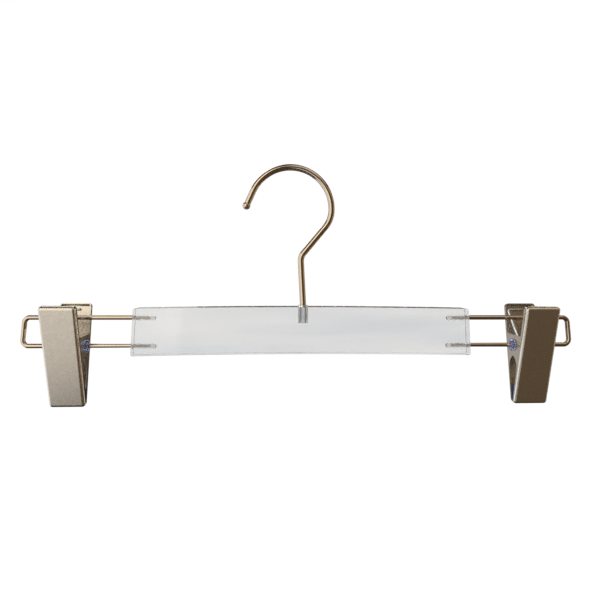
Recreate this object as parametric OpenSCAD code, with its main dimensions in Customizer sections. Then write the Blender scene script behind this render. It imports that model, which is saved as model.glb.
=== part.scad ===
// Retail trouser and skirt hanger.
// A clear bar carries a swivel hook and two wire loops. A sprung clip slides along the lower wire of
// each loop, and its handles stand either side of the upper wire.
// The origin is the rail seat, under the crown of the hook. +X runs along the bar, -Y is the front.

/* [Bar] */
// Length of the bar along its lower edge
bar_len = 217; // [180:1:240]
// Height of the bar
bar_h = 30; // [28:1:34]
// Thickness of the bar
bar_t = 12; // [12:0.5:15]
// How much shorter each end is at the top than at the bottom
bar_end_slant = 2; // [0:0.5:4]
// Rise of the middle of the bar above its ends
bar_arch = 1.1; // [0.5:0.1:2]
// Radius of the four outline corners
bar_corner_r = 1.3; // [0.8:0.1:2]

/* [Hook] */
// Diameter of the hook wire
hook_wire_d = 4; // [3.6:0.1:4.2]
// Radius of the crown, to the middle of the wire
crown_r = 26.2; // [24:0.1:30]
// How far the crown turns before the tip runs straight
crown_turn = 155.5; // [140:0.5:165]
// Length of the straight tip, to the middle of its ball
tip_len = 9.9; // [6:0.1:14]
// Diameter of the ball on the tip
ball_d = 5; // [4.6:0.1:6]
// Lean of the shank away from upright
shank_lean = 3.2; // [1:0.1:6]
// Straight length of the shank
shank_len = 24.9; // [20:0.1:36]
// Lean of the neck that runs out to the crown
neck_lean = 39.7; // [30:0.1:45]
// Straight length of the neck
neck_len = 21.5; // [16:0.1:26]
// Outside diameter of the sleeve that the hook turns in
sleeve_d = 6.2; // [6.2:0.1:7]
// Length of the sleeve
sleeve_len = 11; // [9:0.5:13]
// Height of the sleeve above the top of the bar
sleeve_proud = 0.9; // [0.4:0.1:1.5]

/* [Wire loops] */
// Diameter of the loop wire
loop_wire_d = 3; // [2.6:0.1:3.2]
// Distance between the upper and the lower wire
loop_pitch = 18; // [17:0.5:20]
// Distance from the middle of the bar to the far end of a loop
loop_reach = 178; // [170:1:190]
// Distance that the end of a loop leans out between the upper and the lower wire
loop_end_slant = 2.2; // [0:0.1:3]
// Depth of each wire in the bar
wire_grip = 10.5; // [8:0.5:12]
// Depth of each drilled hole in the bar
hole_depth = 14.2; // [13:0.1:18]

/* [Clips] */
// Distance from the middle of the bar to the middle of the left clip
left_clip_x = 148.7; // [136:0.1:158]
// Distance from the middle of the bar to the middle of the right clip
right_clip_x = 149.9; // [136:0.1:158]
// Width of the front plate
front_plate_w = 22.2; // [21.6:0.1:24]
// Height of the handle end above the hinge
handle_h = 25.6; // [24:0.1:28]
// Depth of the jaw end below the hinge
jaw_h = 38.9; // [36:0.1:42]
// Distance from the middle plane to the outside of a plate at the handle end
handle_y = 17.2; // [15:0.1:18]
// Distance from the middle plane to the outside of a plate at the jaw end
jaw_y = 3.7; // [3.5:0.1:4]
// Thickness of the plate steel
sheet_t = 0.8; // [0.6:0.1:0.9]
// Depth of the folded rim at the hinge
rim_depth = 3.1; // [3:0.1:3.4]
// How fast the rim gets deeper towards the handle end, in degrees
rim_taper = 1.5; // [0:0.1:2]
// Radius of the ears around the hinge
ear_r = 6.6; // [6:0.1:6.8]
// Height of each grip pad
pad_h = 9.2; // [8:0.1:10]
// Width of each grip pad
pad_w = 16.4; // [15:0.1:16.4]

/* [Hinge] */
// Diameter of the bush barrel
bush_d = 5; // [4.6:0.1:5.2]
// Diameter of the bush flange
bush_flange_d = 7.8; // [7:0.1:9]
// How far the bush flange stands out from the ear
bush_proud = 2; // [1.6:0.1:2.4]
// Diameter of the spring wire
spring_wire_d = 1.5; // [1.2:0.1:1.6]
// Mean radius of the spring coil
coil_r = 3.6; // [3.2:0.1:3.8]
// Whole turns in the spring coil
coil_turns = 4; // [3:1:5]

/* [Hidden] */
$fn = 64;

nickel = "#a89a84";
zinc = "#c8ccd2";
acrylic = [0.85, 0.87, 0.88, 0.6];
pad_pvc = "#5a69b0";

// Cutters reach this far past the solid they cut
past = 1;
// Radial clearance of a running fit, and the gap between flat faces that slide past each other
running = 0.05;
side_gap = 0.1;

// Hook: foot, shank, neck, crown and tip as straight runs, each followed by a bend. Each row is
// [straight length, bend radius, bend angle], and a positive bend turns towards +X.
foot_len = 12;
foot_bend_r = 30;
knee_r = 8;
neck_r = 17;
crown_lead = 0.5;
hook_runs = [[foot_len, foot_bend_r, -shank_lean],
             [shank_len, knee_r, shank_lean + neck_lean],
             [neck_len, neck_r, -neck_lean],
             [crown_lead, crown_r, -crown_turn],
             [tip_len, 0, 0]];
crown_run = 3;

// Gap left at each seam of a bent wire, and how far the cuff that closes it stands out
seam = 0.05;
cuff_over = 0.02;

// Wire bending in the XZ plane. A heading is measured from +Z towards +X.
function heading(runs, i) = i == 0 ? 0 : heading(runs, i - 1) + runs[i - 1][2];
function forward(angle) = [sin(angle), cos(angle)];
function rightward(angle) = [cos(angle), -sin(angle)];
function bend_centre(runs, i) =
    run_start(runs, i) + runs[i][0] * forward(heading(runs, i))
    + sign(runs[i][2]) * runs[i][1] * rightward(heading(runs, i));
function run_start(runs, i) =
    i == 0 ? [0, 0]
           : bend_centre(runs, i - 1) - sign(runs[i - 1][2]) * runs[i - 1][1] * rightward(heading(runs, i));

// The foot of the hook turns in the bottom of the sleeve, under a collar
collar_d = 5.3;
collar_h = 2.4;
foot_gap = 0.3;
collar_room = foot_gap + collar_h + 0.15;
sleeve_floor_gap = 0.3;

// Places in the row frame, worked down from the rail seat
crown = bend_centre(hook_runs, crown_run);
foot_z = hook_wire_d / 2 - crown_r - crown[1];
sleeve_z = foot_z - foot_gap;
bar_x = -crown[0];
bar_z = sleeve_z + sleeve_len - sleeve_proud - bar_arch - bar_h / 2;
hinge_z = bar_z - loop_pitch / 2;
left_x = bar_x - left_clip_x;
right_x = bar_x + right_clip_x;

// Wire loop: the top corner, the slanted end and the bottom corner
loop_bend_r = 3.6;
end_lean = atan(loop_end_slant / loop_pitch);
top_bend = 90 - end_lean;
bottom_bend = 90 + end_lean;
lower_corner_x = loop_reach - loop_wire_d / 2 + loop_bend_r * (tan(bottom_bend / 2) - 1);
upper_corner_x = lower_corner_x - loop_end_slant;
wire_start_x = bar_len / 2 - bar_end_slant / 2 - wire_grip;
upper_run = upper_corner_x - loop_bend_r * tan(top_bend / 2) - wire_start_x;
lower_run = lower_corner_x - loop_bend_r * tan(bottom_bend / 2) - wire_start_x;
end_run = norm([loop_pitch, loop_end_slant]) - loop_bend_r * (tan(top_bend / 2) + tan(bottom_bend / 2));
loop_runs = [[upper_run, loop_bend_r, top_bend],
             [end_run, loop_bend_r, bottom_bend],
             [lower_run, 0, 0]];

// Clip plates. Each lies in its own frame: the hinge axis is the origin, Z runs up the plate and
// Y points out of it. The back plate's frame leans back by plate_lean, and the front one mirrors it.
plate_lean = atan((handle_y - jaw_y) / (handle_h + jaw_h));
plate_top = handle_h * cos(plate_lean) + handle_y * sin(plate_lean);
plate_bottom = -jaw_h * cos(plate_lean) + jaw_y * sin(plate_lean);
face_y = handle_y * cos(plate_lean) - handle_h * sin(plate_lean);
rim_y = face_y - rim_depth;
web_y = face_y - sheet_t;
back_plate_w = front_plate_w - 2 * (sheet_t + side_gap);
plate_corner_r = 2;
fold_r = 1.9;
nose_r = 2;
ear_overlap = 0.7;
pin_hole_d = bush_d + 2 * running;

// Grip pads meet at the middle plane with their ribs almost touching, and are cut away at the
// rolled edge of the plate
pad_gap = 0.1;
pad_chamfer = nose_r - sheet_t;
rib_depth = 0.6;
pad_ribs = 6;
pad_bottom = plate_bottom + sheet_t + 0.3;
function grip_y(z) = pad_gap / cos(plate_lean) - z * tan(plate_lean);

// Bush: the flange outside the ears, the barrel through both, and a snap rim inside them
snap_rim_d = 5.6;
snap_rim_h = 0.7;
flange_rim_h = 1;
bush_face_x = front_plate_w / 2 + side_gap;
snap_rim_x = back_plate_w / 2 - sheet_t - side_gap;

// Torsion spring: a coil round the hinge, a leg up the inside of each plate and a tip across it
ring_sides = 8;
rings_per_turn = 14;
coil_pitch = spring_wire_d + 0.1;
leg_x = 8.2;
tip_end_x = 2.5;
tip_z = 24.6;
tip_y = web_y - spring_wire_d / 2 - side_gap;
tip_bend = 2;
tip_bend_steps = 5;

// ---------------------------------------------------------------- wire

module wire_bend(d, r, angle) {
    side = sign(angle);
    translate([side * r, 0, 0])
        rotate([90, 0, 0])
            rotate([0, 0, side > 0 ? 180 - angle : 0])
                rotate_extrude(angle = abs(angle))
                    translate([r, 0])
                        circle(d = d);
}

// A hair-thin cuff closes the seam where a straight run meets a bend
module seam_cuff(d) {
    cylinder(d = d + cuff_over, h = 4 * seam, center = true);
}

module bent_wire(d, runs, i = 0) {
    length = runs[i][0];
    radius = runs[i][1];
    angle = runs[i][2];
    near_seam = i > 0 ? seam : 0;
    far_seam = radius > 0 ? seam : 0;
    translate([0, 0, near_seam])
        cylinder(d = d, h = length - near_seam - far_seam);
    if (i > 0)
        seam_cuff(d);
    if (radius > 0) {
        turn = sign(angle) * radius;
        translate([0, 0, length]) {
            seam_cuff(d);
            wire_bend(d, radius, angle);
        }
        translate([turn * (1 - cos(angle)), 0, length + turn * sin(angle)])
            rotate([0, angle, 0])
                bent_wire(d, runs, i + 1);
    }
}

// ---------------------------------------------------------------- hook

module hook_wire() {
    tip = run_start(hook_runs, len(hook_runs) - 1) + tip_len * forward(-crown_turn);
    color(nickel)
        translate([bar_x, 0, foot_z])
            union() {
                bent_wire(hook_wire_d, hook_runs);
                translate([tip[0], 0, tip[1]])
                    sphere(d = ball_d);
            }
}

module hook_foot() {
    color(nickel)
        translate([bar_x, 0, foot_z])
            difference() {
                cylinder(d = collar_d, h = collar_h);
                translate([0, 0, -past])
                    cylinder(d = hook_wire_d, h = collar_h + 2 * past);
            }
}

module hook_sleeve() {
    color(nickel)
        translate([bar_x, 0, sleeve_z])
            difference() {
                cylinder(d = sleeve_d, h = sleeve_len);
                translate([0, 0, -past])
                    cylinder(d = hook_wire_d + 2 * running, h = sleeve_len + 2 * past);
                translate([0, 0, -past])
                    cylinder(d = collar_d + 4 * running, h = collar_room + past);
            }
}

// ---------------------------------------------------------------- bar and wire loops

bar_curve_steps = 16;
corner_steps = 5;
function arch_at(x) = bar_arch * (1 - pow(2 * x / bar_len, 2));
function edge_points(reach, z) =
    [for (i = [0:bar_curve_steps]) let (x = reach * (2 * i / bar_curve_steps - 1)) [x, z + arch_at(x)]];
function corner_points(x, z, from) =
    [for (i = [1:corner_steps - 1]) let (a = from + 90 * i / corner_steps)
        [x + bar_corner_r * cos(a), z + arch_at(x) + bar_corner_r * sin(a)]];
function reversed(points) = [for (i = [len(points) - 1:-1:0]) points[i]];

module bar_outline() {
    low_x = bar_len / 2 - bar_corner_r;
    high_x = low_x - bar_end_slant;
    corner_z = bar_h / 2 - bar_corner_r;
    polygon(concat(edge_points(low_x, -bar_h / 2),
                   corner_points(low_x, -corner_z, -90),
                   [[bar_len / 2, -corner_z], [bar_len / 2 - bar_end_slant, corner_z]],
                   corner_points(high_x, corner_z, 0),
                   reversed(edge_points(high_x, bar_h / 2)),
                   corner_points(-high_x, corner_z, 90),
                   [[bar_end_slant - bar_len / 2, corner_z], [-bar_len / 2, -corner_z]],
                   corner_points(-low_x, -corner_z, 180)));
}

module bar() {
    hole_start = bar_len / 2 - bar_end_slant / 2 - hole_depth;
    color(acrylic)
        difference() {
            translate([bar_x, bar_t / 2, bar_z])
                rotate([90, 0, 0])
                    linear_extrude(bar_t)
                        bar_outline();
            translate([bar_x, 0, sleeve_z - sleeve_floor_gap])
                cylinder(d = sleeve_d, h = sleeve_len + past);
            for (side = [-1, 1], level = [-1, 1])
                translate([bar_x + side * hole_start, 0, bar_z + level * loop_pitch / 2])
                    rotate([0, side * 90, 0])
                        cylinder(d = loop_wire_d, h = hole_depth + 3 * past);
        }
}

module wire_loop() {
    color(nickel)
        translate([wire_start_x, 0, loop_pitch / 2])
            rotate([0, 90, 0])
                bent_wire(loop_wire_d, loop_runs);
}

module left_wire_loop() {
    translate([bar_x, 0, bar_z])
        mirror([1, 0, 0])
            wire_loop();
}

module right_wire_loop() {
    translate([bar_x, 0, bar_z])
        wire_loop();
}

// ---------------------------------------------------------------- clip, about its hinge axis

module back_frame() {
    rotate([-plate_lean, 0, 0])
        children();
}

module front_frame() {
    mirror([0, 1, 0])
        back_frame()
            children();
}

module rounded_rect(w, h, r) {
    translate([r, 0])
        square([w - 2 * r, h]);
    translate([0, r])
        square([w, h - 2 * r]);
    for (x = [r, w - r], y = [r, h - r])
        translate([x, y])
            circle(r = r);
}

// A block with the outline of a plate and its folded edges, inset by the given distance
module plate_block(w, inset) {
    height = plate_top - plate_bottom - 2 * inset;
    width = w - 2 * inset;
    depth = 2 * rim_depth;
    translate([-width / 2, face_y - inset, plate_bottom + inset])
        intersection() {
            rotate([90, 0, 0])
                linear_extrude(depth)
                    rounded_rect(width, height, plate_corner_r - inset);
            translate([0, -2 * depth, 0])
                linear_extrude(height)
                    rounded_rect(width, 2 * depth, fold_r - inset);
            rotate([90, 0, 90])
                linear_extrude(width)
                    translate([-2 * depth, 0])
                        rounded_rect(2 * depth, height, nose_r - inset);
        }
}

module ear_outline() {
    difference() {
        union() {
            circle(r = ear_r);
            polygon([[0, ear_r],
                     [rim_y + ear_overlap, ear_r + (rim_y + ear_overlap) * tan(plate_lean)],
                     [rim_y + ear_overlap, -ear_r - rim_y],
                     [0, -ear_r - rim_y]]);
        }
        translate([0, -ear_r - rim_y])
            circle(r = rim_y);
    }
}

module ear(x) {
    translate([x, 0, 0])
        rotate([90, 0, 90])
            linear_extrude(sheet_t)
                difference() {
                    ear_outline();
                    circle(d = pin_hole_d);
                }
}

module plate(w) {
    difference() {
        plate_block(w, 0);
        plate_block(w, sheet_t);
        translate([0, rim_y, 0])
            rotate([rim_taper, 0, 0])
                translate([-w, -2 * rim_depth, plate_bottom - 2 * past])
                    cube([2 * w, 2 * rim_depth, plate_top - plate_bottom + 4 * past]);
    }
    ear(w / 2 - sheet_t);
    ear(-w / 2);
}

// The rib tips lie on the middle plane and the roots rib_depth behind it
function rib_points() =
    [for (i = [0:2 * pad_ribs]) let (z = pad_bottom + pad_h * (1 - i / (2 * pad_ribs)))
        [grip_y(z) + (i % 2 == 0 ? rib_depth : 0), z]];

module grip_pad() {
    translate([-pad_w / 2, 0, 0])
        rotate([90, 0, 90])
            linear_extrude(pad_w)
                polygon(concat(rib_points(),
                               [[web_y - pad_chamfer, pad_bottom], [web_y, pad_bottom + pad_chamfer],
                                [web_y, pad_bottom + pad_h]]));
}

module front_plate() {
    color(nickel)
        front_frame()
            plate(front_plate_w);
}

module back_plate() {
    color(nickel)
        back_frame()
            plate(back_plate_w);
}

module front_pad() {
    color(pad_pvc)
        front_frame()
            grip_pad();
}

module back_pad() {
    color(pad_pvc)
        back_frame()
            grip_pad();
}

// The outer bush, with its flange towards +X
module bush() {
    color(pad_pvc)
        rotate([0, 90, 0])
            difference() {
                union() {
                    translate([0, 0, bush_face_x])
                        cylinder(d = bush_flange_d, h = flange_rim_h);
                    translate([0, 0, bush_face_x + flange_rim_h])
                        cylinder(d1 = bush_flange_d, d2 = bush_flange_d - 2, h = bush_proud - flange_rim_h);
                    translate([0, 0, snap_rim_x - snap_rim_h])
                        cylinder(d = bush_d, h = bush_face_x - snap_rim_x + snap_rim_h);
                    translate([0, 0, snap_rim_x - snap_rim_h])
                        cylinder(d = snap_rim_d, h = snap_rim_h);
                }
                cylinder(d = loop_wire_d + 2 * running, h = bush_face_x + bush_proud + past);
            }
}

// ---------------------------------------------------------------- torsion spring

// The back tip and leg in the clip's frame: the corner where the leg folds over into the tip
tip_corner = [-leg_x, tip_y * cos(plate_lean) + tip_z * sin(plate_lean),
              tip_z * cos(plate_lean) - tip_y * sin(plate_lean)];
// The leg leaves the coil along a tangent
leave_angle = atan2(tip_corner[2], tip_corner[1]) - acos(coil_r / norm([tip_corner[1], tip_corner[2]]));
coil_sweep = 360 * (coil_turns + 1) - 180 + 2 * leave_angle;
coil_half = coil_pitch * coil_sweep / 720;
coil_rings = ceil(rings_per_turn * coil_sweep / 360);
function coil_point(part) =
    let (a = leave_angle - coil_sweep * part)
        [coil_half * (2 * part - 1), coil_r * cos(a), coil_r * sin(a)];

function unit(v) = v / norm(v);
function curve_point(a, b, c, part) = pow(1 - part, 2) * a + 2 * part * (1 - part) * b + pow(part, 2) * c;
function half_turned(points) = [for (p = points) [-p[0], -p[1], p[2]]];

// From the end of the back tip, round the fold and down the leg
leg_path =
    let (down = unit(coil_point(0) - tip_corner), across = [1, 0, 0])
        concat([[tip_end_x, tip_corner[1], tip_corner[2]]],
               [for (i = [0:tip_bend_steps])
                   curve_point(tip_corner + tip_bend * across, tip_corner, tip_corner + tip_bend * down,
                               i / tip_bend_steps)]);
coil_path = [for (i = [0:coil_rings]) coil_point(i / coil_rings)];
spring_path = concat(leg_path, coil_path, reversed(half_turned(leg_path)));

function tangent(path, i) = unit(path[min(i + 1, len(path) - 1)] - path[max(i - 1, 0)]);
function carried(n, along) = unit(n - (n * along) * along);
function normals(path, i = 0, n = [0, 0, 1]) =
    i == len(path) ? []
                   : let (here = carried(n, tangent(path, i))) concat([here], normals(path, i + 1, here));

module tube(path, d) {
    across = normals(path);
    last = len(path) - 1;
    points = [for (i = [0:last], k = [0:ring_sides - 1])
                 let (t = tangent(path, i), a = 360 * k / ring_sides)
                     path[i] + d / 2 * (cos(a) * across[i] + sin(a) * cross(t, across[i]))];
    walls = [for (i = [0:last - 1], k = [0:ring_sides - 1])
                let (p = i * ring_sides + k, q = i * ring_sides + (k + 1) % ring_sides)
                    each [[p, p + ring_sides, q], [q, p + ring_sides, q + ring_sides]]];
    near_cap = [for (k = [0:ring_sides - 1]) k];
    far_cap = [for (k = [ring_sides - 1:-1:0]) last * ring_sides + k];
    polyhedron(points, concat(walls, [near_cap, far_cap]));
}

module torsion_spring() {
    color(zinc)
        tube(spring_path, spring_wire_d);
}

// ---------------------------------------------------------------- assembly

module at_left_clip() {
    translate([left_x, 0, hinge_z])
        children();
}

module at_right_clip() {
    translate([right_x, 0, hinge_z])
        children();
}

module flipped() {
    mirror([1, 0, 0])
        children();
}

hook_wire();
hook_foot();
hook_sleeve();
bar();
left_wire_loop();
right_wire_loop();
at_left_clip() front_plate();  // left_front_plate
at_left_clip() front_pad();  // left_front_pad
at_left_clip() back_plate();  // left_back_plate
at_left_clip() back_pad();  // left_back_pad
at_left_clip() torsion_spring();  // left_torsion_spring
at_left_clip() bush();  // left_inner_bush
at_left_clip() flipped() bush();  // left_outer_bush
at_right_clip() front_plate();  // right_front_plate
at_right_clip() front_pad();  // right_front_pad
at_right_clip() back_plate();  // right_back_plate
at_right_clip() back_pad();  // right_back_pad
at_right_clip() torsion_spring();  // right_torsion_spring
at_right_clip() flipped() bush();  // right_inner_bush
at_right_clip() bush();  // right_outer_bush
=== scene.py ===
"""Trouser and skirt hanger: visible meshes, materials, studio and camera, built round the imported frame."""
import math

import bmesh
import bpy
from mathutils import Matrix, Vector


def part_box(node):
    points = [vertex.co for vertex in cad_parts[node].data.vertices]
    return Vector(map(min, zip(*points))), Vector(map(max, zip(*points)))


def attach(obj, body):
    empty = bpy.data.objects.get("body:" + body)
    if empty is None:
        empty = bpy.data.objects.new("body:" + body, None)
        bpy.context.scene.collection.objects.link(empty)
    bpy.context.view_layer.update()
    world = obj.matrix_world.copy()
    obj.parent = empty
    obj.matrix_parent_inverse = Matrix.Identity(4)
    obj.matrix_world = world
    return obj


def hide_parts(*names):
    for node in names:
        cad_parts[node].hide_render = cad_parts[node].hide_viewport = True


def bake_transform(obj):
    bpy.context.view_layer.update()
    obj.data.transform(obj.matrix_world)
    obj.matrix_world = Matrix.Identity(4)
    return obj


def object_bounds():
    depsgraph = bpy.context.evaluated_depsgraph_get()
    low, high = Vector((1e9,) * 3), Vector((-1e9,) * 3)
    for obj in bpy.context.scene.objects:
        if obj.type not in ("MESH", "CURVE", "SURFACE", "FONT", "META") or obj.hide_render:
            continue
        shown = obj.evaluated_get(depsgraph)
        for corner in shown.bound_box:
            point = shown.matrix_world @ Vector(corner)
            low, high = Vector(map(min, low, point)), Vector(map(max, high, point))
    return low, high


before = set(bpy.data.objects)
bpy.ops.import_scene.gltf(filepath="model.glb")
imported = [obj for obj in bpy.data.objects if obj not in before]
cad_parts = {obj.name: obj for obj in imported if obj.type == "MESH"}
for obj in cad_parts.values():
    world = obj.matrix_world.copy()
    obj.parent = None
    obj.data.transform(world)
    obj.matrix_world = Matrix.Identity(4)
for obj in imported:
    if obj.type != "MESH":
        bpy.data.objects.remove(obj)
cad_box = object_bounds()

MM = 0.001
X_AXIS, Y_AXIS, Z_AXIS = Vector((1, 0, 0)), Vector((0, 1, 0)), Vector((0, 0, 1))

# Hook, in metres
HOOK_R = 2.0 * MM
BALL_R = 2.5 * MM
FOOT_CHAMFER = 0.4 * MM
FOOT_LEN = 12 * MM
CROWN_R = 26.2 * MM
TIP_LEN = 9.9 * MM
CROWN_TURN = 155.5
SHANK_LEAN = 3.2
NECK_LEAN = 39.7
HOOK_RUNS = [  # straight length, bend radius, bend towards +X in degrees
    (FOOT_LEN, 30 * MM, -SHANK_LEAN),
    (24.9 * MM, 8 * MM, SHANK_LEAN + NECK_LEAN),
    (21.5 * MM, 17 * MM, -NECK_LEAN),
    (0.5 * MM, CROWN_R, -CROWN_TURN),
    (TIP_LEN, 0, 0),
]
COLLAR_R = 2.65 * MM
SLEEVE_R = 3.1 * MM
SLEEVE_BORE_R = 2.05 * MM
SLEEVE_COLLAR_ROOM = 2.85 * MM

# Bar and wire loops
BAR_ARCH = 1.1 * MM
BAR_END_SLANT = 2 * MM
BAR_CORNER_R = 1.3 * MM
BAR_EDGE_R = 0.35 * MM
HOLE_DEPTH = 14.2 * MM
HOLE_SLACK = 0.12 * MM
DRILL_POINT = 118
LOOP_R = 1.5 * MM
LOOP_BEND_R = 3.6 * MM
LOOP_END_SLANT = 2.2 * MM
LOOP_CHAMFER = 0.3 * MM

# Clip plates, each in its own frame: the hinge axis is the origin, Z runs up the plate, Y points out of it
HANDLE_Y, HANDLE_H = 17.2 * MM, 25.6 * MM
JAW_Y, JAW_H = 3.7 * MM, 38.9 * MM
LEAN = math.atan((HANDLE_Y - JAW_Y) / (HANDLE_H + JAW_H))
PLATE_TOP = HANDLE_H * math.cos(LEAN) + HANDLE_Y * math.sin(LEAN)
BOX_SLACK = 0.012 * MM
PLATE_BOTTOM = -JAW_H * math.cos(LEAN) + JAW_Y * math.sin(LEAN) + BOX_SLACK
FACE_Y = HANDLE_Y * math.cos(LEAN) - HANDLE_H * math.sin(LEAN)
SHEET_T = 0.8 * MM
RIM_DEPTH = 3.1 * MM
RIM_Y = FACE_Y - RIM_DEPTH
RIM_TAPER = math.radians(1.3)
WEB_Y = FACE_Y - SHEET_T
PLATE_CORNER_R = 2 * MM
FOLD_R = 1.9 * MM
NOSE_R = 2 * MM
EAR_R = 6.6 * MM
PIN_HOLE_R = 2.55 * MM
SHEET_EDGE_R = 0.24 * MM

# Grip pads
PAD_W, PAD_H = 16.4 * MM, 9.2 * MM
PAD_CHAMFER = NOSE_R - SHEET_T
PAD_GAP = 0.1 * MM
PAD_RIBS = 6
RIB_DEPTH = 0.6 * MM

# Bush and spring
BUSH_R = 2.5 * MM
BUSH_BORE_R = 1.55 * MM
FLANGE_R = 3.9 * MM
SNAP_RIM_R = 2.8 * MM
BUSH_PROUD = 2 * MM
SPRING_R = 0.75 * MM
SPRING_CHAMFER = 0.2 * MM
COIL_R = 3.6 * MM
COIL_TURNS = 4
COIL_PITCH = 1.6 * MM
LEG_X = 8.2 * MM
TIP_END_X = 2.5 * MM
TIP_Z = 24.6 * MM
TIP_BEND = 2 * MM


# ---------------------------------------------------------------- places, from the frame


def middle(node):
    low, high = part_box(node)
    return (low + high) / 2


bar_low, bar_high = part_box("bar")
bar_x = (bar_low.x + bar_high.x) / 2
bar_half_len = (bar_high.x - bar_low.x) / 2
bar_half_t = (bar_high.y - bar_low.y) / 2
bar_half_h = (bar_high.z - bar_low.z - BAR_ARCH) / 2
bar_z = bar_high.z - BAR_ARCH - bar_half_h
sleeve_low, sleeve_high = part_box("hook_sleeve")
foot_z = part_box("hook_foot")[0].z
loop_low, loop_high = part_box("right_wire_loop")
lower_wire_z = loop_low.z + LOOP_R
upper_wire_z = loop_high.z - LOOP_R
hinge_z = lower_wire_z
front_plate_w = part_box("left_front_plate")[1].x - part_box("left_front_plate")[0].x
back_plate_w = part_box("left_back_plate")[1].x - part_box("left_back_plate")[0].x


# ---------------------------------------------------------------- mesh making


def new_object(name, verts, faces):
    """A mesh object with its faces turned outwards."""
    mesh = bpy.data.meshes.new(name)
    mesh.from_pydata([tuple(v) for v in verts], [], faces)
    mesh.validate()
    work = bmesh.new()
    work.from_mesh(mesh)
    bmesh.ops.recalc_face_normals(work, faces=work.faces)
    work.to_mesh(mesh)
    work.free()
    obj = bpy.data.objects.new(name, mesh)
    bpy.context.scene.collection.objects.link(obj)
    return obj


def shade(obj, sharp_deg=42):
    """Smooth shading, with sharp edges kept and flat faces kept flat."""
    mesh = obj.data
    mesh.polygons.foreach_set("use_smooth", [True] * len(mesh.polygons))
    mesh.set_sharp_from_angle(angle=math.radians(sharp_deg))
    weighted = obj.modifiers.new("weighted", "WEIGHTED_NORMAL")
    weighted.keep_sharp = True
    return obj


def apply_modifiers(obj):
    depsgraph = bpy.context.evaluated_depsgraph_get()
    mesh = bpy.data.meshes.new_from_object(obj.evaluated_get(depsgraph), depsgraph=depsgraph)
    obj.modifiers.clear()
    obj.data = mesh
    return obj


def cut(obj, *cutters):
    """Takes the cutters out of obj and removes them."""
    for cutter in cutters:
        boolean = obj.modifiers.new("cut", "BOOLEAN")
        boolean.object = cutter
        boolean.operation = "DIFFERENCE"
        boolean.solver = "EXACT"
    apply_modifiers(obj)
    for cutter in cutters:
        bpy.data.objects.remove(cutter)
    return obj


def bevel(obj, width, segments=2, over_deg=40):
    rounded = obj.modifiers.new("bevel", "BEVEL")
    rounded.width = width
    rounded.segments = segments
    rounded.limit_method = "ANGLE"
    rounded.angle_limit = math.radians(over_deg)
    rounded.miter_outer = "MITER_ARC"
    return apply_modifiers(obj)


def copy_of(source, name, matrix):
    """A copy of a mesh, carried to its place. A mirroring matrix turns the faces back outwards."""
    obj = bpy.data.objects.new(name, source.data.copy())
    obj.data.transform(matrix)
    if matrix.determinant() < 0:
        obj.data.flip_normals()
    bpy.context.scene.collection.objects.link(obj)
    return obj


def rounded_corners(points, steps=6):
    """A closed outline of (x, y, corner radius) as plain points, with each corner turned into an arc."""
    outline = []
    count = len(points)
    for i, (x, y, radius) in enumerate(points):
        corner = Vector((x, y))
        if radius <= 0:
            outline.append(corner)
            continue
        to_last = (Vector(points[i - 1][:2]) - corner).normalized()
        to_next = (Vector(points[(i + 1) % count][:2]) - corner).normalized()
        half = to_last.angle(to_next) / 2
        centre = corner + (to_last + to_next).normalized() * radius / math.sin(half)
        start = corner + to_last * radius / math.tan(half) - centre
        end = corner + to_next * radius / math.tan(half) - centre
        turn = start.angle_signed(end)
        for k in range(steps + 1):
            arc = start.copy()
            arc.rotate(Matrix.Rotation(-turn * k / steps, 2))
            outline.append(centre + arc)
    return outline


def lathe(name, profile, steps=64, closed=True):
    """Turns a (radius, height) profile round Z. The profile stays off the axis."""
    count = len(profile)
    verts = [
        (r * math.cos(a), r * math.sin(a), z)
        for a in (math.tau * i / steps for i in range(steps))
        for r, z in profile
    ]
    faces = []
    for i in range(steps):
        here, there = i * count, (i + 1) % steps * count
        for k in range(count if closed else count - 1):
            after = (k + 1) % count
            faces.append((here + k, here + after, there + after, there + k))
    return new_object(name, verts, faces)


def rod(name, radius, z_low, z_high, point_deg=0, steps=48):
    """A plain round rod along Z, with a drill point on its lower end if an angle is given."""
    rings = [z_low, z_high]
    verts = [
        (radius * math.cos(a), radius * math.sin(a), z)
        for z in rings
        for a in (math.tau * i / steps for i in range(steps))
    ]
    faces = [(i, (i + 1) % steps, steps + (i + 1) % steps, steps + i) for i in range(steps)]
    faces.append(tuple(range(steps, 2 * steps)))
    if point_deg:
        verts.append((0, 0, z_low - radius / math.tan(math.radians(point_deg / 2))))
        faces += [((i + 1) % steps, i, 2 * steps) for i in range(steps)]
    else:
        faces.append(tuple(range(steps)))
    return new_object(name, verts, faces)


def bent_path(runs, step_deg=3):
    """Points (x, z) along straight runs and bends, starting at the origin and heading up."""
    place, heading = Vector((0, 0)), 0.0
    points = [place.copy()]
    for length, radius, turn in runs:
        place = place + length * Vector((math.sin(heading), math.cos(heading)))
        points.append(place.copy())
        if not radius:
            continue
        side = math.copysign(1, turn)
        centre = place + side * radius * Vector((math.cos(heading), -math.sin(heading)))
        steps = max(2, round(abs(turn) / step_deg))
        for k in range(1, steps + 1):
            at = heading + math.radians(turn) * k / steps
            points.append(centre - side * radius * Vector((math.cos(at), -math.sin(at))))
        heading += math.radians(turn)
        place = points[-1]
    return points


def tangents(path):
    last = len(path) - 1
    return [(path[min(i + 1, last)] - path[max(i - 1, 0)]).normalized() for i in range(last + 1)]


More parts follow.
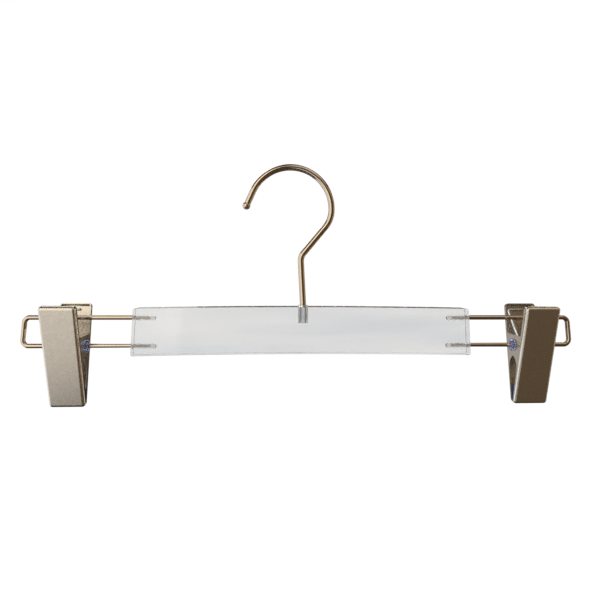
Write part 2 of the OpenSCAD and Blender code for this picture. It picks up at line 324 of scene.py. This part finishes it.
def sweep(name, path, radii, sides=28):
    """A round wire along a path of points, with a radius for each point and closed flat ends."""
    along = tangents(path)
    side = along[0].orthogonal().normalized()
    verts = []
    for place, direction, radius in zip(path, along, radii):
        side = (side - side.dot(direction) * direction).normalized()
        across = direction.cross(side)
        for k in range(sides):
            a = math.tau * k / sides
            verts.append(place + radius * (math.cos(a) * side + math.sin(a) * across))
    rings = len(path)
    faces = [
        (i * sides + k, i * sides + (k + 1) % sides, (i + 1) * sides + (k + 1) % sides, (i + 1) * sides + k)
        for i in range(rings - 1)
        for k in range(sides)
    ]
    faces += [tuple(range(sides)), tuple(range((rings - 1) * sides, rings * sides))]
    return new_object(name, verts, faces)


def extrude(name, outline, axis, low, high):
    """A flat outline of 2D points, made solid along X or Y from low to high."""
    place = (lambda p, t: (t, p[0], p[1])) if axis == "X" else (lambda p, t: (p[0], t, p[1]))
    count = len(outline)
    verts = [place(p, t) for t in (low, high) for p in outline]
    faces = [(i, (i + 1) % count, count + (i + 1) % count, count + i) for i in range(count)]
    faces += [tuple(range(count)), tuple(range(count, 2 * count))]
    return new_object(name, verts, faces)


# ---------------------------------------------------------------- materials


def new_material(name):
    """A material, its Principled shader, and a short way to add and link nodes."""
    material = bpy.data.materials.new(name)
    material.use_nodes = True
    tree = material.node_tree
    shader = tree.nodes["Principled BSDF"]

    def add(kind, **values):
        node = tree.nodes.new(kind)
        for key, value in values.items():
            if hasattr(node, key):
                setattr(node, key, value)
            else:
                node.inputs[key.replace("_", " ")].default_value = value
        return node

    return material, shader, add, tree.links.new


def noise(add, link, scale, detail=3.0, stretch=(1, 1, 1), fine=0.5):
    """Noise in the object's own metres, pulled out along an axis where stretch is small."""
    coords = add("ShaderNodeTexCoord")
    mapping = add("ShaderNodeMapping")
    mapping.inputs["Scale"].default_value = stretch
    texture = add("ShaderNodeTexNoise", Scale=scale, Detail=detail, Roughness=fine)
    link(coords.outputs["Object"], mapping.inputs["Vector"])
    link(mapping.outputs["Vector"], texture.inputs["Vector"])
    return texture.outputs["Fac"]


def ramp(add, link, value, low, high, start=0.3, end=0.7):
    """Turns a value into a colour between low and high."""
    node = add("ShaderNodeValToRGB")
    node.color_ramp.elements[0].position = start
    node.color_ramp.elements[1].position = end
    node.color_ramp.elements[0].color = (*low, 1)
    node.color_ramp.elements[1].color = (*high, 1)
    link(value, node.inputs["Fac"])
    return node.outputs["Color"]


def remap(add, link, value, low, high):
    node = add("ShaderNodeMapRange", From_Min=0.3, From_Max=0.7, To_Min=low, To_Max=high)
    link(value, node.inputs["Value"])
    return node.outputs["Result"]


def bump(add, link, value, shader, strength, distance):
    node = add("ShaderNodeBump", Strength=strength, Distance=distance)
    link(value, node.inputs["Height"])
    link(node.outputs["Normal"], shader.inputs["Normal"])


def satin_nickel():
    """Pearl nickel plate: a warm champagne metal with a fine even grain."""
    material, shader, add, link = new_material("satin_nickel_plate")
    shader.inputs["Metallic"].default_value = 1.0
    grain = noise(add, link, 2600, 4)
    cloud = noise(add, link, 420, 5, fine=0.75)
    link(ramp(add, link, cloud, (0.595, 0.54, 0.463), (0.675, 0.62, 0.537)), shader.inputs["Base Color"])
    link(remap(add, link, grain, 0.22, 0.36), shader.inputs["Roughness"])
    bump(add, link, grain, shader, 0.35, 0.04 * MM)
    return material


def drawn_nickel(name, low, high):
    """The same plate on drawn wire and on the turned sleeve, which are smoother and brighter."""
    material, shader, add, link = new_material(name)
    shader.inputs["Metallic"].default_value = 1.0
    cloud = noise(add, link, 90, 2)
    link(ramp(add, link, cloud, low, high), shader.inputs["Base Color"])
    link(remap(add, link, cloud, 0.09, 0.13), shader.inputs["Roughness"])
    return material


def bright_zinc():
    material, shader, add, link = new_material("bright_zinc")
    shader.inputs["Metallic"].default_value = 1.0
    patch = noise(add, link, 420, 4)
    link(ramp(add, link, patch, (0.84, 0.90, 0.97), (0.92, 0.96, 1.0)), shader.inputs["Base Color"])
    link(remap(add, link, patch, 0.24, 0.34), shader.inputs["Roughness"])
    bump(add, link, patch, shader, 0.1, 0.02 * MM)
    return material


def clear_acrylic():
    """Frosted clear acrylic: soft faces with a faint mould cloud."""
    material, shader, add, link = new_material("clear_acrylic")
    shader.inputs["Transmission Weight"].default_value = 0.9
    shader.inputs["IOR"].default_value = 1.49
    cloud = noise(add, link, 14, 3, (0.5, 1, 5))
    link(ramp(add, link, cloud, (0.835, 0.83, 0.825), (0.695, 0.712, 0.738)), shader.inputs["Base Color"])
    shader.inputs["Specular IOR Level"].default_value = 0.3
    link(remap(add, link, cloud, 0.05, 0.09), shader.inputs["Roughness"])
    bump(add, link, noise(add, link, 900, 3), shader, 0.05, 0.02 * MM)
    return material


def grip_pvc():
    """Soft blue vinyl with a slightly dusty surface."""
    material, shader, add, link = new_material("grip_pvc")
    shader.inputs["Transmission Weight"].default_value = 0.35
    shader.inputs["IOR"].default_value = 1.5
    cloud = noise(add, link, 320, 4)
    link(ramp(add, link, cloud, (0.08, 0.16, 0.52), (0.16, 0.27, 0.68)), shader.inputs["Base Color"])
    link(remap(add, link, cloud, 0.28, 0.42), shader.inputs["Roughness"])
    bump(add, link, noise(add, link, 2600, 3), shader, 0.15, 0.02 * MM)
    return material


def bush_plastic():
    """Translucent blue moulding."""
    material, shader, add, link = new_material("bush_plastic")
    shader.inputs["Transmission Weight"].default_value = 0.85
    shader.inputs["IOR"].default_value = 1.5
    cloud = noise(add, link, 500, 3)
    link(ramp(add, link, cloud, (0.50, 0.58, 0.91), (0.64, 0.72, 0.98)), shader.inputs["Base Color"])
    link(remap(add, link, cloud, 0.10, 0.2), shader.inputs["Roughness"])
    bump(add, link, cloud, shader, 0.08, 0.02 * MM)
    return material


MATERIALS = {
    "plate": (satin_nickel(), "satin_nickel"),
    "wire": (drawn_nickel("nickel_wire", (0.53, 0.43, 0.33), (0.58, 0.48, 0.375)), "satin_nickel"),
    "sleeve": (drawn_nickel("nickel_sleeve", (0.82, 0.82, 0.85), (0.92, 0.92, 0.94)), "satin_nickel"),
    "zinc": (bright_zinc(), "bright_zinc"),
    "acrylic": (clear_acrylic(), "clear_acrylic"),
    "grip": (grip_pvc(), "grip_pvc"),
    "bush": (bush_plastic(), "bush_plastic"),
}


def finish_piece(obj, finish, node, body=None):
    """Gives a piece its material, hides the CAD node it stands for and, when a body is given, hangs it on
    that body.
    """
    material, slot = MATERIALS[finish]
    obj.data.materials.clear()
    obj.data.materials.append(material)
    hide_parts(node)
    if body:
        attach(obj, body)
    return obj


# ---------------------------------------------------------------- hook


def hook_wire():
    """The bent wire, swelling into a ball at its tip."""
    flat = bent_path(HOOK_RUNS)
    path = [Vector((bar_x + x, 0, foot_z + z)) for x, z in flat]
    ball, tip_way = path[-1], (path[-1] - path[-2]).normalized()
    path = path[:-1]
    radii = [HOOK_R] * len(path)
    path[0] += FOOT_CHAMFER * Z_AXIS
    path.insert(0, path[0] - FOOT_CHAMFER * Z_AXIS)
    radii.insert(0, HOOK_R - FOOT_CHAMFER)
    neck = math.degrees(math.asin(HOOK_R / BALL_R))
    for k in range(15):
        a = math.radians(180 - neck + (neck - 178.5) * k / 14)
        path.append(ball + tip_way * BALL_R * math.cos(a))
        radii.append(BALL_R * math.sin(a))
    wire = shade(sweep("hook_wire_bent", path, radii, 36), 60)
    return finish_piece(wire, "wire", "hook_wire", "hook")


def hook_foot():
    """The collar that stays under the sleeve's step."""
    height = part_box("hook_foot")[1].z - foot_z
    edge = 0.3 * MM
    profile = rounded_corners([
        (HOOK_R, 0, 0), (COLLAR_R, 0, edge), (COLLAR_R, height, edge), (HOOK_R, height, 0),
    ])
    collar = lathe("hook_foot_collar", profile)
    collar.data.transform(Matrix.Translation((bar_x, 0, foot_z)))
    return finish_piece(shade(collar), "wire", "hook_foot", "hook")


def hook_sleeve():
    height = sleeve_high.z - sleeve_low.z
    room_r = COLLAR_R + 0.1 * MM
    profile = rounded_corners([
        (room_r, 0, 0.1 * MM), (SLEEVE_R, 0, 0.15 * MM), (SLEEVE_R, height, 0.35 * MM),
        (SLEEVE_BORE_R, height, 0.25 * MM), (SLEEVE_BORE_R, SLEEVE_COLLAR_ROOM, 0),
        (room_r, SLEEVE_COLLAR_ROOM, 0),
    ])
    sleeve = lathe("hook_sleeve_turned", profile)
    sleeve.data.transform(Matrix.Translation((bar_x, 0, sleeve_low.z)))
    return finish_piece(shade(sleeve), "sleeve", "hook_sleeve", "bar_frame")


# ---------------------------------------------------------------- bar and wire loops


def bar_outline():
    """The long arched outline, with slanted ends and rounded corners."""
    def edge(reach, z, steps=40):
        xs = [reach * (2 * i / steps - 1) for i in range(steps + 1)]
        return [(x, z + BAR_ARCH * (1 - (x / bar_half_len) ** 2), 0) for x in xs]

    bottom = edge(bar_half_len, -bar_half_h)
    top = list(reversed(edge(bar_half_len - BAR_END_SLANT, bar_half_h)))
    for row in (bottom, top):
        for end in (0, -1):
            row[end] = (*row[end][:2], BAR_CORNER_R)
    return rounded_corners(bottom + top, 8)


def drilled_hole(side, level):
    """A drill cutter lying in the end of the bar, with its point towards the middle."""
    mouth = bar_half_len - BAR_END_SLANT / 2
    cutter = rod("drill", LOOP_R + HOLE_SLACK, mouth - HOLE_DEPTH, bar_half_len + 5 * MM, DRILL_POINT)
    turn = Matrix.Rotation(math.radians(90 * side), 4, "Y")
    cutter.data.transform(Matrix.Translation((bar_x, 0, level)) @ turn)
    return cutter


def bar():
    body = extrude("bar_acrylic", bar_outline(), "Y", -bar_half_t, bar_half_t)
    body.data.transform(Matrix.Translation((bar_x, 0, bar_z)))
    bevel(body, BAR_EDGE_R, 3, 60)
    socket = rod("socket", SLEEVE_R + HOLE_SLACK, sleeve_low.z - 0.3 * MM, bar_high.z + 5 * MM)
    socket.data.transform(Matrix.Translation((bar_x, 0, 0)))
    drills = [drilled_hole(side, level) for side in (-1, 1) for level in (lower_wire_z, upper_wire_z)]
    cut(body, socket, *drills)
    return finish_piece(shade(body, 35), "acrylic", "bar", "bar_frame")


def wire_loop(side, out):
    """One loop of wire from hole to hole, with lightly chamfered ends."""
    node = side + "_wire_loop"
    low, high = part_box(node)
    start, reach = sorted(abs(x - bar_x) for x in (low.x, high.x))
    pitch = upper_wire_z - lower_wire_z
    lean = math.degrees(math.atan(LOOP_END_SLANT / pitch))
    top_turn, bottom_turn = 90 - lean, 90 + lean
    setback = [LOOP_BEND_R * math.tan(math.radians(turn / 2)) for turn in (top_turn, bottom_turn)]
    lower_corner = reach - LOOP_R + setback[1] - LOOP_BEND_R
    runs = [
        (lower_corner - LOOP_END_SLANT - setback[0] - start, LOOP_BEND_R, top_turn),
        (math.hypot(pitch, LOOP_END_SLANT) - sum(setback), LOOP_BEND_R, bottom_turn),
        (lower_corner - setback[1] - start, 0, 0),
    ]
    flat = [Vector((start + z, -x)) for x, z in bent_path(runs, 6)]
    path = [Vector((bar_x + out * x, 0, upper_wire_z + z)) for x, z in flat]
    radii = [LOOP_R] * len(path)
    # Known fault: at the lower end the narrow ring goes in before the full one, so the lower run tapers.
    for spot, end in ((0, 0), (len(path), -1)):
        tip = path[end].copy()
        path[end] = tip + out * LOOP_CHAMFER * X_AXIS
        path.insert(spot, tip)
        radii.insert(spot, LOOP_R - LOOP_CHAMFER)
    wire = shade(sweep(node + "_bent", path, radii), 60)
    return finish_piece(wire, "wire", node, "bar_frame")


# ---------------------------------------------------------------- clip plates


def rim_at(z):
    """Depth of the rim's free edge at a height: the rim gets deeper towards the handle end."""
    return RIM_Y - z * math.tan(RIM_TAPER)


def side_samples():
    """Along one side of a plate: (height on the fold, height on the free edge, depth of the free edge)."""
    low, high = PLATE_BOTTOM + PLATE_CORNER_R, PLATE_TOP - PLATE_CORNER_R
    cove_z = -EAR_R - RIM_Y
    ear_top = EAR_R + RIM_Y * math.tan(LEAN)
    cove = [(cove_z + RIM_Y * math.sin(a), rim_at(cove_z) * math.cos(a))
            for a in (math.radians(90) * k / 14 for k in range(15))]
    ear = [(-EAR_R * math.cos(a), -EAR_R * math.sin(a))
           for a in (math.pi * k / 24 for k in range(1, 25))]
    shoulder_z = ear_top + 1.2 * MM
    shoulder = [
        (EAR_R + 0.85 * (ear_top - EAR_R), 0.85 * RIM_Y),
        (ear_top + 0.15 * MM, 0.985 * rim_at(ear_top)),
        (shoulder_z, rim_at(shoulder_z)),
    ]
    lobe = cove + ear + shoulder
    lengths = [0.0]
    for (z0, y0), (z1, y1) in zip(lobe, lobe[1:]):
        lengths.append(lengths[-1] + math.hypot(z1 - z0, y1 - y0))
    span = lobe[-1][0] - lobe[0][0]
    samples = [(lobe[0][0] + span * part / lengths[-1], z, y) for (z, y), part in zip(lobe, lengths)]
    below = [low + (cove_z - low) * k / 6 for k in range(6)]
    above = [lobe[-1][0] + (high - lobe[-1][0]) * k / 5 for k in range(1, 6)]
    return [(z, z, rim_at(z)) for z in below] + samples + [(z, z, rim_at(z)) for z in above]


def plate_walk(width):
    """Once round the plate: (place in the face plane, outward normal, free edge's height and depth)."""
    half = width / 2
    inner = half - PLATE_CORNER_R
    side = [(half, z, 0, edge_z, edge_y) for z, edge_z, edge_y in side_samples()]
    walk = list(side)
    upper_z, lower_z = PLATE_TOP - PLATE_CORNER_R, PLATE_BOTTOM + PLATE_CORNER_R
    for turn, centre_x in ((0, inner), (90, -inner)):
        walk += [(centre_x, upper_z, turn + 90 * k / 8, None, None) for k in range(1, 8)]
        if turn == 0:
            walk += [(inner * (1 - k / 3), PLATE_TOP, 90, None, None) for k in range(7)]
    walk += [(-half, z, 180, edge_z, edge_y) for _, z, _, edge_z, edge_y in reversed(side)]
    for turn, centre_x in ((180, -inner), (270, inner)):
        walk += [(centre_x, lower_z, turn + 90 * k / 8, None, None) for k in range(1, 8)]
        if turn == 180:
            walk += [(inner * (k / 3 - 1), PLATE_BOTTOM, 270, None, None) for k in range(7)]
    points = []
    for x, z, degrees, edge_z, edge_y in walk:
        a = math.radians(degrees)
        normal = Vector((math.cos(a), math.sin(a)))
        place = Vector((x, z))
        if degrees % 90:
            place += PLATE_CORNER_R * normal
        points.append((place, normal, edge_z, edge_y))
    return points


def plate_ring(points, inset, swing):
    """One loop round the fold: swing 0 is where the face ends and 90 where the fold meets the rim."""
    a = math.radians(swing)
    ring = []
    for place, normal, _, _ in points:
        radius = FOLD_R + (NOSE_R - FOLD_R) * normal.y ** 2 - inset
        spot = place - normal * (inset + radius * (1 - math.sin(a)))
        ring.append((spot.x, FACE_Y - inset - radius * (1 - math.cos(a)), spot.y))
    return ring


def edge_ring(points, inset):
    """The loop round the free edge of the rims and ears."""
    ring = []
    for place, normal, edge_z, edge_y in points:
        spot = place - normal * inset
        if edge_z is None:
            edge_z, edge_y = spot.y, rim_at(spot.y)
        ring.append((spot.x, edge_y, edge_z))
    return ring


def folded_plate(name, width):
    """Half a clip: sheet steel with a rolled rim all round and an ear on each side."""
    points = plate_walk(width)
    swings = [0, 15, 30, 45, 60, 75, 90]
    rings = [plate_ring(points, 0, swing) for swing in swings]
    rings += [edge_ring(points, 0), edge_ring(points, SHEET_T)]
    rings += [plate_ring(points, SHEET_T, swing) for swing in reversed(swings)]
    count = len(points)
    verts = [v for ring in rings for v in ring]
    faces = [
        (i * count + k, i * count + (k + 1) % count, (i + 1) * count + (k + 1) % count, (i + 1) * count + k)
        for i in range(len(rings) - 1)
        for k in range(count)
    ]
    faces += [tuple(range(count)), tuple(range((len(rings) - 1) * count, len(rings) * count))]
    plate = new_object(name, verts, faces)
    pin = rod("pin", PIN_HOLE_R, -width, width)
    pin.data.transform(Matrix.Rotation(math.radians(90), 4, "Y"))
    cut(plate, pin)
    bevel(plate, SHEET_EDGE_R)
    return plate


def grip_pad(name):
    """A block of vinyl in the jaw, with ribs on the gripping side."""
    bottom = PLATE_BOTTOM + SHEET_T + 0.3 * MM
    back = WEB_Y - 0.01 * MM
    outline = []
    for i in range(2 * PAD_RIBS + 1):
        z = bottom + PAD_H * (1 - i / (2 * PAD_RIBS))
        grip_y = PAD_GAP / math.cos(LEAN) - z * math.tan(LEAN)
        valley = i % 2 == 0
        outline.append((grip_y + (RIB_DEPTH if valley else 0), z, 0.12 * MM))
    outline += [(back - PAD_CHAMFER, bottom, 0.3 * MM), (back, bottom + PAD_CHAMFER, 0.3 * MM),
                (back, bottom + PAD_H, 0.3 * MM)]
    pad = extrude(name, rounded_corners(outline, 3), "X", -PAD_W / 2, PAD_W / 2)
    return bevel(pad, 0.12 * MM, 2, 60)


# ---------------------------------------------------------------- bushes and springs


def bush(name):
    """Flanged bush with its flange towards +X: dished rim, barrel through the ears, and a snap rim inside."""
    face = front_plate_w / 2 + 0.1 * MM
    inner = back_plate_w / 2 - SHEET_T - 0.1 * MM
    tip = inner - 0.7 * MM
    profile = rounded_corners([
        (BUSH_BORE_R, tip, 0.15 * MM), (SNAP_RIM_R, tip, 0.25 * MM), (SNAP_RIM_R, inner, 0.1 * MM),
        (BUSH_R, inner, 0), (BUSH_R, face, 0), (FLANGE_R, face, 0.2 * MM),
        (FLANGE_R, face + 1.0 * MM, 0.45 * MM), (FLANGE_R - 1.0 * MM, face + BUSH_PROUD, 0.4 * MM),
        (BUSH_BORE_R + 0.45 * MM, face + BUSH_PROUD, 0.2 * MM),
        (BUSH_BORE_R, face + BUSH_PROUD - 0.5 * MM, 0.1 * MM),
    ], 4)
    obj = lathe(name, profile, 56)
    obj.data.transform(Matrix.Rotation(math.radians(90), 4, "Y"))
    return obj


def spring_half_path():
    """From the tip across the back plate, down the leg and along half the coil, about the hinge axis."""
    tip_y = WEB_Y - SPRING_R - 0.1 * MM
    corner = Vector((-LEG_X, tip_y * math.cos(LEAN) + TIP_Z * math.sin(LEAN),
                     TIP_Z * math.cos(LEAN) - tip_y * math.sin(LEAN)))
    leave = math.atan2(corner.z, corner.y) - math.acos(COIL_R / math.hypot(corner.y, corner.z))
    sweep_angle = math.tau * (COIL_TURNS + 1) - math.pi + 2 * leave
    half_width = COIL_PITCH * sweep_angle / (2 * math.tau)

    def coil(part):
        a = leave - sweep_angle * part
        return Vector((half_width * (2 * part - 1), COIL_R * math.cos(a), COIL_R * math.sin(a)))

    down = (coil(0) - corner).normalized()
    path = [Vector((TIP_END_X, corner.y, corner.z))]
    path += [path[0].lerp(corner + TIP_BEND * X_AXIS, k / 4) for k in range(1, 4)]
    for k in range(9):
        t = k / 8
        path.append((1 - t) ** 2 * (corner + TIP_BEND * X_AXIS) + 2 * t * (1 - t) * corner
                    + t * t * (corner + TIP_BEND * down))
    path += [path[-1].lerp(coil(0), k / 16) for k in range(1, 16)]
    rings = 72
    return path + [coil(0.5 * k / rings) for k in range(rings + 1)]


def spring_half(side, jaw, place):
    """Half of the torsion spring on one jaw's side, its leg and half its coil, baked in place and hung on no
    body.
    """
    path = spring_half_path()
    if jaw == "front":
        path = [Vector((-p.x, -p.y, p.z)) for p in path]
    path = [p + place for p in path]
    radii = [SPRING_R] * len(path)
    inward = (path[1] - path[0]).normalized()
    path.insert(1, path[0] + SPRING_CHAMFER * inward)
    radii.insert(1, SPRING_R)
    radii[0] = SPRING_R - SPRING_CHAMFER
    half = shade(sweep(f"{side}_spring_{jaw}_half", path, radii, 18), 60)
    finish_piece(half, "zinc", side + "_torsion_spring")
    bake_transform(half)
    return half


# ---------------------------------------------------------------- clips


def clip(side, out, masters):
    place = Vector((middle(side + "_front_plate").x, 0, hinge_z))
    at_hinge = Matrix.Translation(place)
    back = at_hinge @ Matrix.Rotation(-LEAN, 4, "X")
    front = at_hinge @ Matrix.Scale(-1, 4, Y_AXIS) @ Matrix.Rotation(-LEAN, 4, "X")
    for jaw, matrix in (("front", front), ("back", back)):
        body = f"{side}_{jaw}_jaw"
        plate = copy_of(masters[jaw], f"{side}_{jaw}_plate_folded", matrix)
        finish_piece(shade(plate), "plate", f"{side}_{jaw}_plate", body)
        pad = copy_of(masters["pad"], f"{side}_{jaw}_pad_ribbed", matrix)
        finish_piece(shade(pad), "grip", f"{side}_{jaw}_pad", body)
        spring_half(side, jaw, place)
    for which, way in (("inner", -out), ("outer", out)):
        matrix = at_hinge if way > 0 else at_hinge @ Matrix.Scale(-1, 4, X_AXIS)
        piece = copy_of(masters["bush"], f"{side}_{which}_bush_moulded", matrix)
        finish_piece(shade(piece), "bush", f"{side}_{which}_bush", side + "_slider")


def both_clips():
    masters = {
        "front": folded_plate("front_master", front_plate_w),
        "back": folded_plate("back_master", back_plate_w),
        "pad": grip_pad("pad_master"),
        "bush": bush("bush_master"),
    }
    for side, out in (("left", -1), ("right", 1)):
        clip(side, out, masters)
    for master in masters.values():
        bpy.data.objects.remove(master)


# ---------------------------------------------------------------- studio and camera


def studio_shell():
    """A pale floor that curves up into a plain backdrop all round."""
    floor_z, roof_z, axis_r, wall_r, bend = -0.75, 1.6, 0.001, 2.2, 0.8
    profile = rounded_corners([
        (axis_r, floor_z, 0), (wall_r, floor_z, bend), (wall_r, roof_z, bend), (axis_r, roof_z, 0),
    ], 12)
    shell = lathe("studio_shell", profile, 96, closed=False)
    shell.data.polygons.foreach_set("use_smooth", [True] * len(shell.data.polygons))
    material, shader, add, link = new_material("studio_paper")
    shader.inputs["Base Color"].default_value = (0, 0, 0, 1)
    shader.inputs["Roughness"].default_value = 0.9
    glow = noise(add, link, 2, 2)
    link(ramp(add, link, glow, (1.0, 1.0, 1.0), (1.03, 1.03, 1.03)), shader.inputs["Emission Color"])
    shader.inputs["Emission Strength"].default_value = 1.0
    shell.data.materials.append(material)
    shell.visible_glossy = False
    shell.visible_diffuse = False
    shell.visible_shadow = False


def softbox(name, azimuth, elevation, distance, width, height, radiance, tint):
    """A soft rectangular light aimed at the hanger. Azimuth 0 is the front and 90 the right."""
    target = (cad_box[0] + cad_box[1]) / 2
    a, e = math.radians(azimuth), math.radians(elevation)
    way = Vector((math.sin(a) * math.cos(e), -math.cos(a) * math.cos(e), math.sin(e)))
    light = bpy.data.lights.new(name, "AREA")
    light.shape = "RECTANGLE"
    light.size, light.size_y = width, height
    light.energy = radiance * math.pi * width * height
    light.color = tint
    obj = bpy.data.objects.new(name, light)
    obj.location = target + way * distance
    obj.rotation_euler = way.to_track_quat("Z", "Y").to_euler()
    obj.visible_camera = False
    obj.visible_transmission = False
    bpy.context.scene.collection.objects.link(obj)


def studio_light():
    world = bpy.data.worlds.new("studio")
    world.use_nodes = True
    world.node_tree.nodes["Background"].inputs["Color"].default_value = (0.045, 0.032, 0.021, 1)
    bpy.context.scene.world = world
    softbox("key", -38, 16, 1.3, 1.3, 1.4, 1.5, (1, 0.95, 0.83))
    softbox("side", -97, -5, 1.3, 1.2, 2.2, 1.5, (0.82, 0.91, 1))
    softbox("low_left", -35, -23.5, 1.3, 1.7, 0.55, 0.9, (1, 0.99, 0.98))
    softbox("top_left", -15, 44, 1.3, 0.9, 0.5, 0.8, (1, 0.94, 0.86))
    softbox("back_left", -150, -10, 1.3, 0.9, 1.1, 0.5, (1, 0.97, 0.98))
    softbox("back_high", -152, 45, 1.3, 0.6, 0.6, 2.2, (1, 0.98, 0.98))
    softbox("low_right", 38, -8, 1.3, 1.8, 2.0, 0.086, (1, 0.67, 0.4))
    softbox("high_right", 32, 32, 1.3, 1.2, 0.5, 0.3, (1, 0.82, 0.62))
    softbox("top_right", 50, 60, 1.3, 1.0, 0.8, 1.0, (1, 0.95, 0.91))
    softbox("right_strip", 80, 5, 1.3, 0.3, 1.6, 1.2, (1, 0.88, 0.72))
    softbox("back_right", 133, 0, 1.3, 0.45, 1.4, 1.7, (1, 0.88, 0.74))


def camera():
    data = bpy.data.cameras.new("camera")
    data.lens, data.sensor_width = 30.09, 36
    data.clip_start, data.clip_end = 0.01, 20
    obj = bpy.data.objects.new("camera", data)
    yaw, pitch, roll = -0.0466, -0.0505, -0.0043
    turn = Matrix.Rotation(yaw, 4, "Z") @ Matrix.Rotation(pitch, 4, "X") @ Matrix.Rotation(roll, 4, "Y")
    place = Matrix.Translation((bar_x - 19.56 * MM, -316.7 * MM, bar_z + 39.16 * MM))
    obj.matrix_world = place @ turn @ Matrix.Rotation(math.radians(90), 4, "X")
    bpy.context.scene.collection.objects.link(obj)
    bpy.context.scene.camera = obj
    bpy.context.scene.view_settings.view_transform = "Standard"


hook_wire()
hook_foot()
hook_sleeve()
bar()
wire_loop("left", -1)
wire_loop("right", 1)
both_clips()
studio_shell()
studio_light()
camera()
